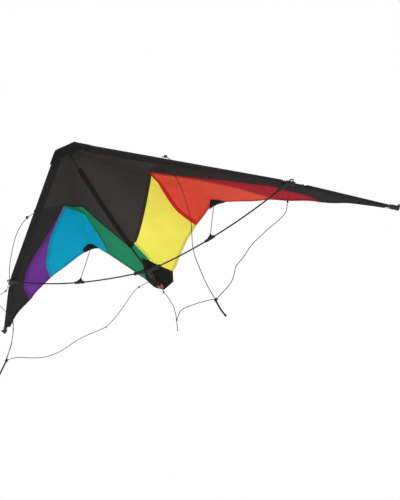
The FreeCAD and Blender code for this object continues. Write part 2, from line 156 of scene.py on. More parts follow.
LEFT_BRIDLE = {
    "upper_leg": [(-0.171, -0.25, 0.013), (-0.176, -0.258, -0.006), (-0.184, -0.258, -0.031),
                  (-0.193, -0.254, -0.056), (-0.2, -0.243, -0.082), (-0.208, -0.228, -0.111),
                  (-0.213, -0.213, -0.137), (-0.216, -0.194, -0.163), (-0.221, -0.168, -0.188),
                  (-0.225, -0.142, -0.215), (-0.229, -0.12, -0.244), (-0.235, -0.108, -0.269),
                  (-0.242, -0.099, -0.293)],
    "lower_leg": [(-0.399, -0.08, 0.033), (-0.394, -0.081, 0.015), (-0.391, -0.083, -0.003),
                  (-0.4, -0.087, -0.019), (-0.403, -0.091, -0.037), (-0.394, -0.092, -0.054),
                  (-0.372, -0.09, -0.074), (-0.342, -0.088, -0.103), (-0.315, -0.087, -0.132),
                  (-0.293, -0.087, -0.161), (-0.279, -0.088, -0.188), (-0.268, -0.09, -0.217),
                  (-0.255, -0.093, -0.248), (-0.249, -0.096, -0.273), (-0.245, -0.098, -0.291)],
    "inner_leg": [(-0.005, 0.027, -0.009), (-0.014, 0.019, -0.022), (-0.027, 0.011, -0.038),
                  (-0.037, 0.009, -0.054), (-0.046, 0.008, -0.074), (-0.054, 0.008, -0.096),
                  (-0.065, 0.008, -0.118), (-0.076, 0.007, -0.14), (-0.087, 0.005, -0.158)],
    "adjuster_line": [(-0.089, 0.004, -0.161), (-0.101, -0.003, -0.174), (-0.116, -0.014, -0.19),
                      (-0.131, -0.024, -0.208), (-0.145, -0.031, -0.227), (-0.159, -0.037, -0.246),
                      (-0.176, -0.045, -0.261), (-0.194, -0.057, -0.272), (-0.213, -0.074, -0.279),
                      (-0.23, -0.089, -0.284), (-0.241, -0.097, -0.294)],
    "tow_pigtail": [(-0.243, -0.097, -0.298), (-0.248, -0.094, -0.309), (-0.254, -0.09, -0.319),
                    (-0.261, -0.085, -0.328)],
}
EYE = Vector((0.4005, -0.0812, 0.0445))        # in the edge connector's eye
TOW_KNOT = Vector((0.243, -0.097, -0.296))     # where the three lines of a side meet
KNOT_PLACES = {
    "right": {"hitch": (0.179, -0.2545, 0.0225), "lower": (0.389, -0.072, -0.019),
              "inner": (0.0592, -0.002, -0.106)},
    "left": {"hitch": (-0.1785, -0.2583, -0.014), "lower": (-0.391, -0.083, -0.003),
             "inner": (-0.0265, 0.011, -0.040)},
}
HITCH_HEADING = {"right": (0.6, 0.2, -0.3), "left": (-0.3, 0, -1)}
HITCH_AT = 0.38                                # how far along the leading edge's inner part the hitches are
HITCH_TURN = 0.0050                            # radius of the line's turn round the sleeve
HITCH_LOOP = [(0.1705, -0.2555, 0.0215), (0.1745, -0.2572, 0.0235), (0.1790, -0.2545, 0.0225),
              (0.1835, -0.2500, 0.0205), (0.1875, -0.2440, 0.0185)]

# ---- camera ----
LENS = 36.27                                   # millimetres, over a sensor 36 mm high
SENSOR_HEIGHT = 36
SHIFT_UP = 0.0477


class CLOTH_PG_sizes(bpy.types.PropertyGroup):
    """The cloth's sizes and colours."""
    thickness: FloatProperty(name="Cloth", description="Thickness of a panel", default=0.0005, unit="LENGTH")
    seam: FloatProperty(name="Seam", description="Half the width of a lapped seam", default=0.0035,
                        unit="LENGTH")
    hem: FloatProperty(name="Hem", description="Half the width of a hem", default=0.004, unit="LENGTH")
    ripple: FloatProperty(name="Ripple", description="Height of the cloth's soft folds", default=0.0022,
                          unit="LENGTH")
    grid: FloatProperty(name="Ripstop", description="Spacing of the heavy threads", default=0.005,
                        unit="LENGTH")
    black: FloatVectorProperty(name="Black", description="Black cloth", subtype="COLOR",
                               default=(0.026, 0.0245, 0.0238))
    # Same black cloth as the edge panels, painted lighter to stand for the light and sheen that fall on the
    # centre panels
    centre: FloatVectorProperty(name="Centre", description="Black cloth of the centre panels",
                                subtype="COLOR", default=(0.042, 0.0385, 0.0365))
    yellow: FloatVectorProperty(name="Yellow", description="Right inner panel", subtype="COLOR",
                                default=(0.93, 0.87, 0.115))
    orange: FloatVectorProperty(name="Orange", description="Right middle panel", subtype="COLOR",
                                default=(0.78, 0.080, 0.046))
    crimson: FloatVectorProperty(name="Crimson", description="Right outer panel", subtype="COLOR",
                                 default=(0.38, 0.014, 0.028))
    green: FloatVectorProperty(name="Green", description="Left inner panel", subtype="COLOR",
                               default=(0.014, 0.26, 0.108))
    blue: FloatVectorProperty(name="Blue", description="Left middle panel", subtype="COLOR",
                              default=(0.0, 0.38, 0.62))
    purple: FloatVectorProperty(name="Purple", description="Left outer panel", subtype="COLOR",
                                default=(0.155, 0.034, 0.285))


class RIG_PG_sizes(bpy.types.PropertyGroup):
    """The lines' sizes and the hard parts' colours."""
    line: FloatProperty(name="Line", description="Diameter of the bridle line", default=0.0015,
                        unit="LENGTH")
    pigtail: FloatProperty(name="Pigtail", description="Diameter of the tow loop's line", default=0.0034,
                           unit="LENGTH")
    rod: FloatVectorProperty(name="Rod", description="Black rods", subtype="COLOR",
                             default=(0.008, 0.008, 0.009))
    pale_rod: FloatVectorProperty(name="Standoff", description="Standoff rods", subtype="COLOR",
                                  default=(0.16, 0.16, 0.165))
    fitting: FloatVectorProperty(name="Fittings", description="Moulded fittings", subtype="COLOR",
                                 default=(0.012, 0.012, 0.012))
    cap: FloatVectorProperty(name="Tail cap", description="The cap on the spine's tail", subtype="COLOR",
                             default=(0.24, 0.007, 0.013))
    braid: FloatVectorProperty(name="Bridle", description="The bridle line", subtype="COLOR",
                               default=(0.018, 0.018, 0.020))


class VIEW_PG_stage(bpy.types.PropertyGroup):
    """Camera and floor."""
    turn: FloatProperty(name="Turn", description="How far the camera is round to the left", subtype="ANGLE",
                        default=math.radians(29.5))
    rise: FloatProperty(name="Rise", description="How steeply the camera looks up", subtype="ANGLE",
                        default=math.radians(49.3))
    roll: FloatProperty(name="Roll", description="How far the camera leans", subtype="ANGLE",
                        default=math.radians(5.87))
    place: FloatVectorProperty(name="Place", description="Where the camera is", subtype="TRANSLATION",
                               default=(0.5235, -0.6604, -0.9598))
    floor: FloatProperty(name="Floor", description="The floor's height", default=-1.25, unit="LENGTH")


# ---- the sail's shape ----
def spine_height(y):
    t = (y - NOSE_Y) / -NOSE_Y
    return -4 * SPINE_BOW * t * (1 - t)


def sail_height(x, y):
    """Height of the taut sail's middle: a cone from the nose with a soft ridge over the standoff."""
    x = abs(x)
    reach = math.hypot(x, y - NOSE_Y)
    angle = math.degrees(math.atan2(x, y - NOSE_Y))
    inner = RIDGE_RISE * angle / RIDGE_ANGLE
    outer = RIDGE_RISE + (EDGE_RISE - RIDGE_RISE) * (angle - RIDGE_ANGLE) / (EDGE_ANGLE - RIDGE_ANGLE)
    outer = max(outer, EDGE_RISE)
    tent = (inner + outer - math.hypot(inner - outer, RIDGE_SOFT)) / 2
    lift = LIFT * math.exp(-(((y - LIFT_Y) / LIFT_SPREAD) ** 2))
    centre = spine_height(y) + SAIL_CLEAR + lift
    return reach * tent + centre * math.exp(-x / CENTRE_FADE)


def edge_distance(x, y):
    """How far a plan point lies inside the leading edge."""
    best = 1.0
    for a, b in ((SPAR_NOSE, SPAR_BEND), (SPAR_BEND, SPAR_TIP)):
        run = (b - a).xy.normalized()
        out = abs((x - a.x) * run.y - (y - a.y) * run.x)
        best = min(best, out)
    return best


def ripple(x, y):
    """Soft folds of the cloth, none at the spar and the spine: fans from the standoff and the tail, and long
    waves towards the wing tip."""
    depth = bpy.context.scene.kite_cloth.ripple
    held = min(edge_distance(x, y) / 0.03, 1) * min(x / 0.04, 1)
    from_standoff = math.hypot(x - POINT_P[0], y - POINT_P[1])
    fan = math.atan2(y - POINT_P[1], x - POINT_P[0])
    top = math.sin(fan * 11 + 0.6) * math.exp(-from_standoff / 0.05) * min(from_standoff / 0.02, 1)
    from_tail = math.hypot(x, y - POINT_E[1])
    spread = math.atan2(x, POINT_E[1] - y)
    tail = math.sin(spread * 16 + 1.0) * math.exp(-(((from_tail - 0.07) / 0.05) ** 2))
    outward = max(0.0, min((x - 0.23) / 0.08, 1)) * max(0.0, min((0.56 - x) / 0.08, 1))
    waves = math.sin(x * 62 + y * 18) * outward
    broad = math.sin(x * 38 - y * 55 + 0.4) * 0.35
    return depth * held * (0.5 * top + 0.45 * tail + 1.1 * waves + broad)


def cloth_height(x, y):
    return sail_height(x, y) + ripple(x, y)


# ---- drawing helpers ----
def smooth(points, step=0.004):
    """Plan points every few millimetres along one smooth curve through the given ones."""
    places = [Vector((x, y, 0)) for x, y in points]
    ends = [places[0] * 2 - places[1], *places, places[-1] * 2 - places[-2]]
    line = []
    for before, a, b, after in zip(ends, ends[1:], ends[2:], ends[3:]):
        span = (b - a).length
        leave = (b - before) * span / (span + (a - before).length)
        arrive = (after - a) * span / (span + (after - b).length)
        count = max(2, math.ceil(span / step) + 1)
        line += interpolate_bezier(a, a + leave / 3, b - arrive / 3, b, count)[:-1]
    return [p.xy for p in line] + [places[-1].xy]


def heading_at(line, i):
    """The direction of a line at its point i, from its neighbours."""
    return (line[min(i + 1, len(line) - 1)] - line[max(i - 1, 0)]).normalized()


def outline_of(sides):
    """One closed plan loop from sides given in order round it, each in either direction."""
    runs = [smooth(side) for side in sides]
    if (runs[0][0] - runs[1][0]).length < 1e-6 or (runs[0][0] - runs[1][-1]).length < 1e-6:
        runs[0].reverse()
    loop = list(runs[0])
    for run in runs[1:]:
        if (run[-1] - loop[-1]).length < (run[0] - loop[-1]).length:
            run.reverse()
        loop += run[1:]
    return loop[:-1] if (loop[0] - loop[-1]).length < 1e-6 else loop


def new_mesh(name, verts, faces, uvs):
    mesh = bpy.data.meshes.new(name)
    mesh.from_pydata(verts, [], faces)
    layer = mesh.uv_layers.new(name="UVMap")
    for loop in mesh.loops:
        layer.data[loop.index].uv = uvs[loop.vertex_index]
    piece = bpy.data.objects.new(name, mesh)
    bpy.context.scene.collection.objects.link(piece)
    return piece


def deselect():
    for o in list(bpy.context.selected_objects):
        o.select_set(False)


def thicken(piece, thickness):
    """Gives a sheet its thickness, half each way, and shades it smooth."""
    deselect()
    piece.select_set(True)
    bpy.context.view_layer.objects.active = piece
    wall = piece.modifiers.new("Thickness", "SOLIDIFY")
    wall.thickness = thickness
    wall.offset = 0
    bpy.ops.object.modifier_apply(modifier=wall.name)
    bpy.ops.object.shade_smooth_by_angle(angle=math.radians(50))
    return piece


def cut_cloth(name, side, loop, place, thickness, spacing=0.005):
    """A sheet over a plan outline. place gives each plan point's position on the right wing."""
    sign = SIDES[side]
    low = Vector((min(p.x for p in loop), min(p.y for p in loop)))
    high = Vector((max(p.x for p in loop), max(p.y for p in loop)))
    points = list(loop)
    near = KDTree(len(loop))
    for i, p in enumerate(loop):
        near.insert((p.x, p.y, 0), i)
    near.balance()
    row = 0
    y = low.y + spacing / 2
    while y < high.y:
        x = low.x + spacing * (0.5 if row % 2 else 1.0)
        while x < high.x:
            if near.find((x, y, 0))[2] > 0.55 * spacing:
                points.append(Vector((x, y)))
            x += spacing
        y += spacing * 0.87
        row += 1
    found = delaunay_2d_cdt(points, [], [list(range(len(loop)))], 1, 1e-7)
    used = sorted({i for face in found[2] for i in face})
    again = {old: new for new, old in enumerate(used)}
    verts, uvs = [], []
    for i in used:
        p = found[0][i]
        v = place(p.x, p.y)
        verts.append((sign * v[0], v[1], v[2]))
        uvs.append((p.x, p.y))
    faces = [[again[i] for i in face[::sign]] for face in found[2]]
    return thicken(new_mesh(name, verts, faces, uvs), thickness)


def ribbon(name, side, line, half, drop, thickness):
    """A strip of cloth along a plan line, on the sail's face side by drop."""
    sign = SIDES[side]
    columns = 4
    verts, faces, uvs = [], [], []
    travelled = 0.0
    for i, p in enumerate(line):
        ahead = heading_at(line, i)
        across = Vector((ahead.y, -ahead.x))
        travelled += (p - line[i - 1]).length if i else 0
        for c in range(columns + 1):
            t = 2 * c / columns - 1
            q = p + across * half * t
            x = max(q.x, 0.0)
            verts.append((sign * x, q.y, cloth_height(x, q.y) - drop))
            uvs.append((travelled, half * t))
    width = columns + 1
    for i in range(len(line) - 1):
        for c in range(columns):
            quad = (i * width + c, i * width + c + 1, (i + 1) * width + c + 1, (i + 1) * width + c)
            faces.append(quad if sign < 0 else quad[::-1])
    return thicken(new_mesh(name, verts, faces, uvs), thickness)


def settle(piece, side):
    """Cloth near the fold stays where it is, attached to no body; the rest rides on the wing."""
    sign = SIDES[side]
    if min(sign * v.co.x for v in piece.data.vertices) < 0.02:
        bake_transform(piece)
    else:
        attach(piece, side + "_wing")


# ---- materials ----
def shader(name, colour, roughness, **sockets):
    """A material with a Principled shader whose plain values are set on its own sockets."""
    material = bpy.data.materials.new(name)
    material.use_nodes = True
    bsdf = material.node_tree.nodes["Principled BSDF"]
    bsdf.inputs["Base Color"].default_value = (*colour, 1)
    bsdf.inputs["Roughness"].default_value = roughness
    for socket, value in sockets.items():
        bsdf.inputs[socket.replace("_", " ")].default_value = value
    return material, bsdf


def node(material, kind, **settings):
    made = material.node_tree.nodes.new(kind)
    for key, value in settings.items():
        setattr(made, key, value)
    return made


def link(material, a, b):
    material.node_tree.links.new(a, b)


def maths(material, operation, a, b=None):
    made = node(material, "ShaderNodeMath", operation=operation)
    for i, value in enumerate((a, b)):
        if value is None:
            continue
        if isinstance(value, (int, float)):
            made.inputs[i].default_value = value
        else:
            link(material, value, made.inputs[i])
    return made.outputs[0]


def noise(material, where, scale, detail):
    made = node(material, "ShaderNodeTexNoise")
    made.inputs["Scale"].default_value = scale
    made.inputs["Detail"].default_value = detail
    link(material, where.outputs["Object"], made.inputs["Vector"])
    return made.outputs["Fac"]


def relief(material, bsdf, height, strength):
    """Bumps a surface by height, over a fifth of a millimetre."""
    bump = node(material, "ShaderNodeBump")
    bump.inputs["Strength"].default_value = strength
    bump.inputs["Distance"].default_value = 0.0002
    link(material, height, bump.inputs["Height"])
    link(material, bump.outputs[0], bsdf.inputs["Normal"])


def thread_line(material, value, spacing, width):
    """1 on a thread that repeats every spacing, 0 between."""
    wrapped = maths(material, "PINGPONG", value, spacing / 2)
    return maths(material, "LESS_THAN", wrapped, width / 2)


def ripstop(name, colour, stitched=False):
    """Coated ripstop nylon: a plain weave with a grid of heavier threads, softly mottled."""
    material, bsdf = shader(name, colour, 0.75, Specular_IOR_Level=0.05)
    grid = bpy.context.scene.kite_cloth.grid
    where = node(material, "ShaderNodeTexCoord")
    split = node(material, "ShaderNodeSeparateXYZ")
    link(material, where.outputs["Object"], split.inputs[0])
    along = thread_line(material, split.outputs["X"], grid, THREAD_WIDTH)
    across = thread_line(material, split.outputs["Y"], grid, THREAD_WIDTH)
    threads = maths(material, "MAXIMUM", along, across)
    mottle = noise(material, where, 22, 5)
    weave = noise(material, where, 2200, 1)
    shade = maths(material, "MULTIPLY_ADD", mottle, 0.3)
    shade.node.inputs[2].default_value = 0.85
    shade = maths(material, "SUBTRACT", shade, maths(material, "MULTIPLY", threads, 0.07))
    height = maths(material, "ADD", maths(material, "MULTIPLY", weave, 0.4), threads)
    if stitched:
        shade, height = stitches(material, shade, height)
    tint = node(material, "ShaderNodeMix", data_type="RGBA", blend_type="MULTIPLY")
    tint.inputs["Factor"].default_value = 1
    tint.inputs["A"].default_value = (*colour, 1)
    link(material, shade, tint.inputs["B"])
    link(material, tint.outputs["Result"], bsdf.inputs["Base Color"])
    relief(material, bsdf, height, 0.25)
    return material


def stitches(material, shade, height):
    """Two rows of stitching along a strip, from its own UV map: length along U, width across V."""
    flat = node(material, "ShaderNodeUVMap", uv_map="UVMap")
    split = node(material, "ShaderNodeSeparateXYZ")
    link(material, flat.outputs[0], split.inputs[0])
    row = maths(material, "ABSOLUTE", split.outputs["Y"])
    row = maths(material, "COMPARE", row, STITCH_ROW)
    row.node.inputs[2].default_value = STITCH_HALF
    step = maths(material, "FRACT", maths(material, "DIVIDE", split.outputs["X"], STITCH_LENGTH))
    dash = maths(material, "LESS_THAN", step, STITCH_SHARE)
    stitch = maths(material, "MULTIPLY", row, dash)
    return (maths(material, "SUBTRACT", shade, maths(material, "MULTIPLY", stitch, 0.3)),
            maths(material, "ADD", height, maths(material, "MULTIPLY", stitch, 2.0)))


def hard(name, colour, roughness, grain, depth, **sockets):
    """A hard surface with fine grain and slightly uneven gloss."""
    material, bsdf = shader(name, colour, roughness, **sockets)
    where = node(material, "ShaderNodeTexCoord")
    specks = noise(material, where, grain, 4)
    uneven = maths(material, "MULTIPLY_ADD", specks, 0.2)
    uneven.node.inputs[2].default_value = roughness - 0.1
    link(material, uneven, bsdf.inputs["Roughness"])
    ramp = node(material, "ShaderNodeMix", data_type="RGBA")
    ramp.inputs["A"].default_value = (*[c * 0.8 for c in colour], 1)
    ramp.inputs["B"].default_value = (*[min(1, c * 1.35 + 0.004) for c in colour], 1)
    link(material, specks, ramp.inputs["Factor"])
    link(material, ramp.outputs["Result"], bsdf.inputs["Base Color"])
    relief(material, bsdf, specks, depth)
    return material


def braid(name, colour):
    """Braided line: fine slanting strands."""
    material, bsdf = shader(name, colour, 0.85, Specular_IOR_Level=0.2)
    where = node(material, "ShaderNodeTexCoord")
    strands = node(material, "ShaderNodeTexWave", wave_type="BANDS", bands_direction="DIAGONAL")
    strands.inputs["Scale"].default_value = 700
    strands.inputs["Distortion"].default_value = 3
    link(material, where.outputs["Object"], strands.inputs["Vector"])
    mix = node(material, "ShaderNodeMix", data_type="RGBA")
    mix.inputs["A"].default_value = (*[c * 0.6 for c in colour], 1)
    mix.inputs["B"].default_value = (*[min(1, c * 1.6) for c in colour], 1)
    link(material, strands.outputs["Fac"], mix.inputs["Factor"])
    link(material, mix.outputs["Result"], bsdf.inputs["Base Color"])
    relief(material, bsdf, strands.outputs["Fac"], 0.5)
    return material


MATERIALS = {}


def finish_of(key):
    """The material for a finish, made once."""
    cloth, rig = bpy.context.scene.kite_cloth, bpy.context.scene.kite_rig
    if key in MATERIALS:
        return MATERIALS[key]
    if key == "red_seam":
        made = ripstop(key, (0.62, 0.022, 0.014), stitched=True)
    elif key.endswith("_seam"):
        colour = getattr(cloth, key[:-5])
        made = ripstop(key, tuple(c * 0.78 for c in colour), stitched=True)
    elif hasattr(cloth, key):
        made = ripstop(key + "_ripstop", tuple(getattr(cloth, key)))
    elif key == "webbing":
        made = ripstop("nose_webbing", (0.0125, 0.0125, 0.0118), stitched=True)
    elif key == "rod":
        made = hard("black_rod", tuple(rig.rod), 0.5, 900, 0.1, Specular_IOR_Level=0.12)
    elif key == "pale_rod":
        made = hard("standoff_rod", tuple(rig.pale_rod), 0.35, 700, 0.1)
    elif key == "fitting":
        made = hard("moulded_fitting", tuple(rig.fitting), 0.5, 1500, 0.3, Specular_IOR_Level=0.25)
    elif key == "vinyl":
        made = hard("black_vinyl", (0.010, 0.010, 0.010), 0.45, 600, 0.15, Specular_IOR_Level=0.3)
    elif key == "cap":
        made = hard("red_cap", tuple(rig.cap), 0.22, 300, 0.05, Coat_Weight=0.6, Coat_Roughness=0.08)
    else:
        made = braid("bridle_line", tuple(rig.braid))
    MATERIALS[key] = made
    return made


def dress(piece, key):
    piece.data.materials.clear()
    piece.data.materials.append(finish_of(key))
    return piece


PANEL_COLOURS = {
    # centre: the black cloth painted lighter for the light and sheen on the centre panels
    "right": {"centre_panel": "centre", "inner_panel": "yellow", "middle_panel": "orange",
              "outer_panel": "crimson", "edge_panel": "black"},
    "left": {"centre_panel": "centre", "inner_panel": "green", "middle_panel": "blue",
             "outer_panel": "purple", "edge_panel": "black"},
}


def sail_point(drop):
    return lambda x, y: (x, y, cloth_height(x, y) - drop)


class KITE_OT_sail(bpy.types.Operator):
    """Cuts the ten sail panels, their lapped seams and their hems"""
    bl_idname = "kite.sail"
    bl_label = "Sail"

    def strips(self, side, name, colour):
        """The seams and hems that go with one panel, as a list of pieces."""
        cloth = bpy.context.scene.kite_cloth
        laps = {"centre_panel": [("seam_ab", SEAM_AB, cloth.seam), ("seam_out", SEAM_OUT, cloth.seam)],
                "inner_panel": [("seam_ag", SEAM_AG, cloth.seam), ("hem", HEM_EG, cloth.hem),
                                ("crease", CREASE, cloth.seam)],
                "middle_panel": [("seam_aj", SEAM_AJ, cloth.seam), ("hem_in", HEM_GP, cloth.hem),
                                 ("hem_out", HEM_PJ, cloth.hem)],
                "outer_panel": [("seam_ak", SEAM_AK, cloth.seam), ("hem", HEM_JK, cloth.hem)],
                "edge_panel": [("hem", HEM_KT, cloth.hem)]}
        made = []
        for label, plan, half in laps[name]:
            line = smooth(plan)
            if label.startswith("hem"):
                line = [p + Vector(inwards(line, i)) * half * 0.92 for i, p in enumerate(line)]
            strip = ribbon(f"{side}_{name}_{label}", side, line, half, STRIP_DROP, STRIP_THICKNESS)
            finish = "red_seam" if colour == "yellow" and label == "seam_ag" else colour + "_seam"
            made.append(dress(strip, finish))
        return made

    def centre_lap(self):
        """The left panel's edge lapped past the fold, and the right panel's folded edge beside it."""
        lap = smooth([(0.0045, -0.083), (0.0050, -0.060), (0.0052, -0.015)])
        fold = smooth([(0.0100, -0.088), (0.0118, -0.060), (0.0125, -0.020)])
        green = dress(ribbon("centre_lap", "right", lap, 0.0052, 0.0011, 0.0003), "green")
        yellow = dress(ribbon("centre_fold", "right", fold, 0.0022, 0.0016, 0.0004), "yellow_seam")
        return [green, yellow]

    def slot_of(self, side, name):
        colour = PANEL_COLOURS[side][name]
        return ("black" if colour == "centre" else colour) + "_ripstop"

    def execute(self, context):
        cloth = context.scene.kite_cloth
        for side in SIDES:
            for name, sides in PANELS.items():
                colour = PANEL_COLOURS[side][name]
                loop = outline_of(sides)
                piece = cut_cloth(f"{side}_{name}_cloth", side, loop, sail_point(0), cloth.thickness)
                dress(piece, colour)
                strips = self.strips(side, name, colour)
                if (side, name) == ("right", "inner_panel"):
                    strips += self.centre_lap()
                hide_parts(f"{side}_{name}")
                settle(piece, side)
                for strip in strips:
                    settle(strip, side)
        return {"FINISHED"}


def inwards(line, i):
    """The plan direction into the sail, beside a trailing-edge line that runs outwards."""
    ahead = heading_at(line, i)
    return (ahead.y, -ahead.x)


def spar_stations(step=0.008):
    """Points and headings along the right spar, from the sleeve's nose end to its tip end."""
    into, away = (SPAR_BEND - SPAR_NOSE).normalized(), (SPAR_TIP - SPAR_BEND).normalized()
    arc_in, arc_out = SPAR_BEND - into * 0.04, SPAR_BEND + away * 0.04
    line = []
    start = SPAR_NOSE + into * 0.009
    count = math.ceil((arc_in - start).length / step)
    line += [start.lerp(arc_in, i / count) for i in range(count)]
    line += [arc_in.lerp(SPAR_BEND, t / 8).lerp(SPAR_BEND.lerp(arc_out, t / 8), t / 8) for t in range(9)]
    end = SPAR_TIP - away * 0.017
    count = math.ceil((end - arc_out).length / step)
    line += [arc_out.lerp(end, (i + 1) / count) for i in range(count)]
    return line


class KITE_OT_sleeves(bpy.types.Operator):
    """Folds the leading-edge sleeves round their spars, with a flap stitched to the sail"""
    bl_idname = "kite.sleeves"
    bl_label = "Leading-edge sleeves"

    def sleeve(self, side):
        sign = SIDES[side]
        radius, flap = 0.0039, 0.0125
        line = spar_stations()
        runs = [[] for _ in range(3)]
        for i, p in enumerate(line):
            heading = heading_at(line, i)
            beyond = (p - SPAR_BEND).dot(heading)
            which = 0 if beyond < CUT_FROM else 2 if beyond > CUT_TO else 1
            runs[which].append((p, heading))
        runs[1] = [runs[0][-1], *runs[1], runs[2][0]]
        verts, faces, uvs = [], [], []
        for section, run in zip((self.tube, self.facing, self.tube), runs):
            first = len(verts)
            travelled = 0.0
            profile = section(radius, flap)
            ring = len(profile)
            for i, (p, heading) in enumerate(run):
                travelled += (p - run[i - 1][0]).length if i else 0
                inward = Vector((-heading.y, heading.x, 0)).normalized()
                for n, lift, across in profile:
                    q = p + inward * n
                    hold = max(0.0, min(1.0, (n - radius * 0.6) / 0.004))
                    level = p.z * (1 - hold) + cloth_height(q.x, q.y) * hold
                    verts.append((sign * q.x, q.y, level + lift))
                    uvs.append((travelled, across))
            for i in range(len(run) - 1):
                for c in range(ring - 1):
                    quad = (first + i * ring + c, first + i * ring + c + 1, first + (i + 1) * ring + c + 1,
                            first + (i + 1) * ring + c)
                    faces.append(quad if sign > 0 else quad[::-1])
        return thicken(new_mesh(side + "_leading_edge_sleeve_cloth", verts, faces, uvs), 0.0004)

    def facing(self, radius, flap):
        """Both flaps alone, where the sleeve is cut away round the connector."""
        return [(flap, -0.0009, 0.0), (flap - 0.006, -0.0010, 0.006), (radius - 0.0016, -0.0008, 0.01),
                (radius - 0.0016, 0.0008, 0.01), (flap - 0.006, 0.0010, 0.006), (flap, 0.0009, 0.0)]

    def tube(self, radius, flap):
        """Round the rod, then both flaps: (distance inwards, height, across for the stitches)."""
        points = [(flap, -0.0009, 0.0), (flap - 0.003, -0.0010, 0.0020), (flap - 0.0055, -0.0011, 0.0045)]
        for i in range(13):
            a = math.radians(-35 - i * 290 / 12)
            points.append((radius * math.cos(a), radius * math.sin(a), 0.01 + i * 0.002))
        points += [(flap - 0.0055, 0.0011, 0.0045), (flap - 0.003, 0.0010, 0.0020), (flap, 0.0009, 0.0)]
        return points

    def execute(self, context):
        for side in SIDES:
            piece = dress(self.sleeve(side), "black_seam")
            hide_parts(side + "_leading_edge_sleeve")
            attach(piece, side + "_wing")
        return {"FINISHED"}


class KITE_OT_patches(bpy.types.Operator):
    """Cuts the webbing patches at the nose, the tail and the standoffs, and the tape over the spine"""
    bl_idname = "kite.patches"
    bl_label = "Patches and spine tape"

    def nose_place(self, x, y):
        """The nose patch lies under the spars' ends and folds up over the nose."""
        past_edge = (x - NOSE_CORNER[0]) * 0.6 - (y - NOSE_CORNER[1]) * 0.8
        past_front = NOSE_CORNER[1] - y
        if past_edge > 0:
            x, y = x - 0.6 * past_edge, y + 0.8 * past_edge
        rise = max(past_edge, past_front, 0)
        return (x, max(y, NOSE_CORNER[1]), 0.0005 * math.sin(x * 160) - 0.0056 + rise)

    def nose(self, side):
        loop = outline_of([[a, b] for a, b in zip(NOSE_OUTLINE, NOSE_OUTLINE[1:] + NOSE_OUTLINE[:1])])
        piece = cut_cloth(side + "_nose_patch_cloth", side, loop, self.nose_place, 0.0009, PATCH_SPACING)
        dress(piece, "webbing")
        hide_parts("nose_patch")
        settle(piece, side)

    def tape(self):
        """The tape over the spine's face side, between the nose patch and the centre panel's end."""
        start, end = -0.312, -0.084
        section = [(-0.0058, 0.0022), (-0.0040, 0.0016), (-0.0029, -0.0006), (-0.0019, -0.0024),
                   (0.0, -0.0028), (0.0019, -0.0024), (0.0029, -0.0006), (0.0040, 0.0016), (0.0058, 0.0022)]
        verts, faces, uvs = [], [], []
        rows = 56
        for i in range(rows + 1):
            y = start + (end - start) * i / rows
            for c, (x, z) in enumerate(section):
                pucker = 0.0002 * math.sin(y * 900 + c)
                verts.append((x, y, spine_height(y) + z + pucker))
                uvs.append((y - start, abs(x) - 0.0024))
        width = len(section)
        for i in range(rows):
            for c in range(width - 1):
                a = i * width + c
                faces.append((a, a + width, a + width + 1, a + 1))
        piece = thicken(new_mesh("spine_tape", verts, faces, uvs), 0.0004)
        dress(piece, "webbing")
        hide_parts("spine_sleeve")
        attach(piece, "keel")

    def execute(self, context):
        for side in SIDES:
            self.nose(side)
            for name, outline in PATCHES.items():
                loop = outline_of([[a, b] for a, b in zip(outline, outline[1:] + outline[:1])])
                piece = cut_cloth(f"{side}_{name}_cloth", side, loop, sail_point(PATCH_DROP),
                                  PATCH_THICKNESS, PATCH_SPACING)
                dress(piece, "webbing")
                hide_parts(f"{side}_{name}")
                settle(piece, side)
        self.tape()
        return {"FINISHED"}


class KITE_OT_frame(bpy.types.Operator):
    """Gives the rods, caps and moulded fittings their finishes"""
    bl_idname = "kite.frame"
    bl_label = "Rods and fittings"

    def execute(self, context):
        plain = {"spine": "rod", "spine_nose_cap": "vinyl", "tee_core": "fitting", "tail_cap": "cap"}
        paired = {"leading_edge_spar": "rod", "lower_spreader": "rod", "spar_nose_cap": "vinyl",
                  "wingtip_nock": "fitting", "wingtip_lashing": "vinyl", "edge_connector": "fitting",
                  "connector_stops": "vinyl", "tee_arm": "fitting", "standoff_connector": "fitting",
                  "standoff": "pale_rod", "standoff_cap": "vinyl"}
        names = {**plain, **{f"{side}_{n}": key for side in SIDES for n, key in paired.items()}}
        for name, key in names.items():
            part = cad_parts[name]
            part.data.materials.clear()
            part.data.materials.append(finish_of(key))
        return {"FINISHED"}


def wound_knot(name, centre, heading, line, wraps):
    """A small barrel knot: wraps of the line lying side by side, leaning a little, over a core."""
    deselect()
    heading = Vector(heading).normalized()
    parts = []
    for i in range(wraps):
        lean = heading + Vector((0.25 * math.sin(i * 2.1), 0.25 * math.cos(i * 1.7), 0.15 * (i % 2)))
        place = Vector(centre) + heading * (i - (wraps - 1) / 2) * line * 0.85
        bpy.ops.mesh.primitive_torus_add(location=place, rotation=lean.to_track_quat("Z", "Y").to_euler(),
                                         major_radius=line * 0.85, minor_radius=line * 0.5,
                                         major_segments=20, minor_segments=10)
        parts.append(bpy.context.object)
    bpy.ops.mesh.primitive_uv_sphere_add(location=centre, radius=line * 0.8, segments=16, ring_count=10)
    parts.append(bpy.context.object)
    for part in parts:
        part.select_set(True)
    bpy.context.view_layer.objects.active = parts[0]
    bpy.ops.object.join()
    bpy.ops.object.transform_apply(location=True, rotation=True, scale=True)
    bpy.ops.object.shade_smooth()
    piece = bpy.context.object
    piece.name = name
    return dress(piece, "braid")


def round_sleeve(name, centre, heading, line):
    """One turn of the line round the leading edge's sleeve."""
    deselect()
    bpy.ops.mesh.primitive_torus_add(location=centre, rotation=heading.to_track_quat("Z", "Y").to_euler(),
                                     major_radius=HITCH_TURN, minor_radius=line / 2, major_segments=36,
                                     minor_segments=10)
    bpy.ops.object.transform_apply(location=True, rotation=True, scale=True)
    bpy.ops.object.shade_smooth()
    piece = bpy.context.object
    piece.name = name
    return dress(piece, "braid")


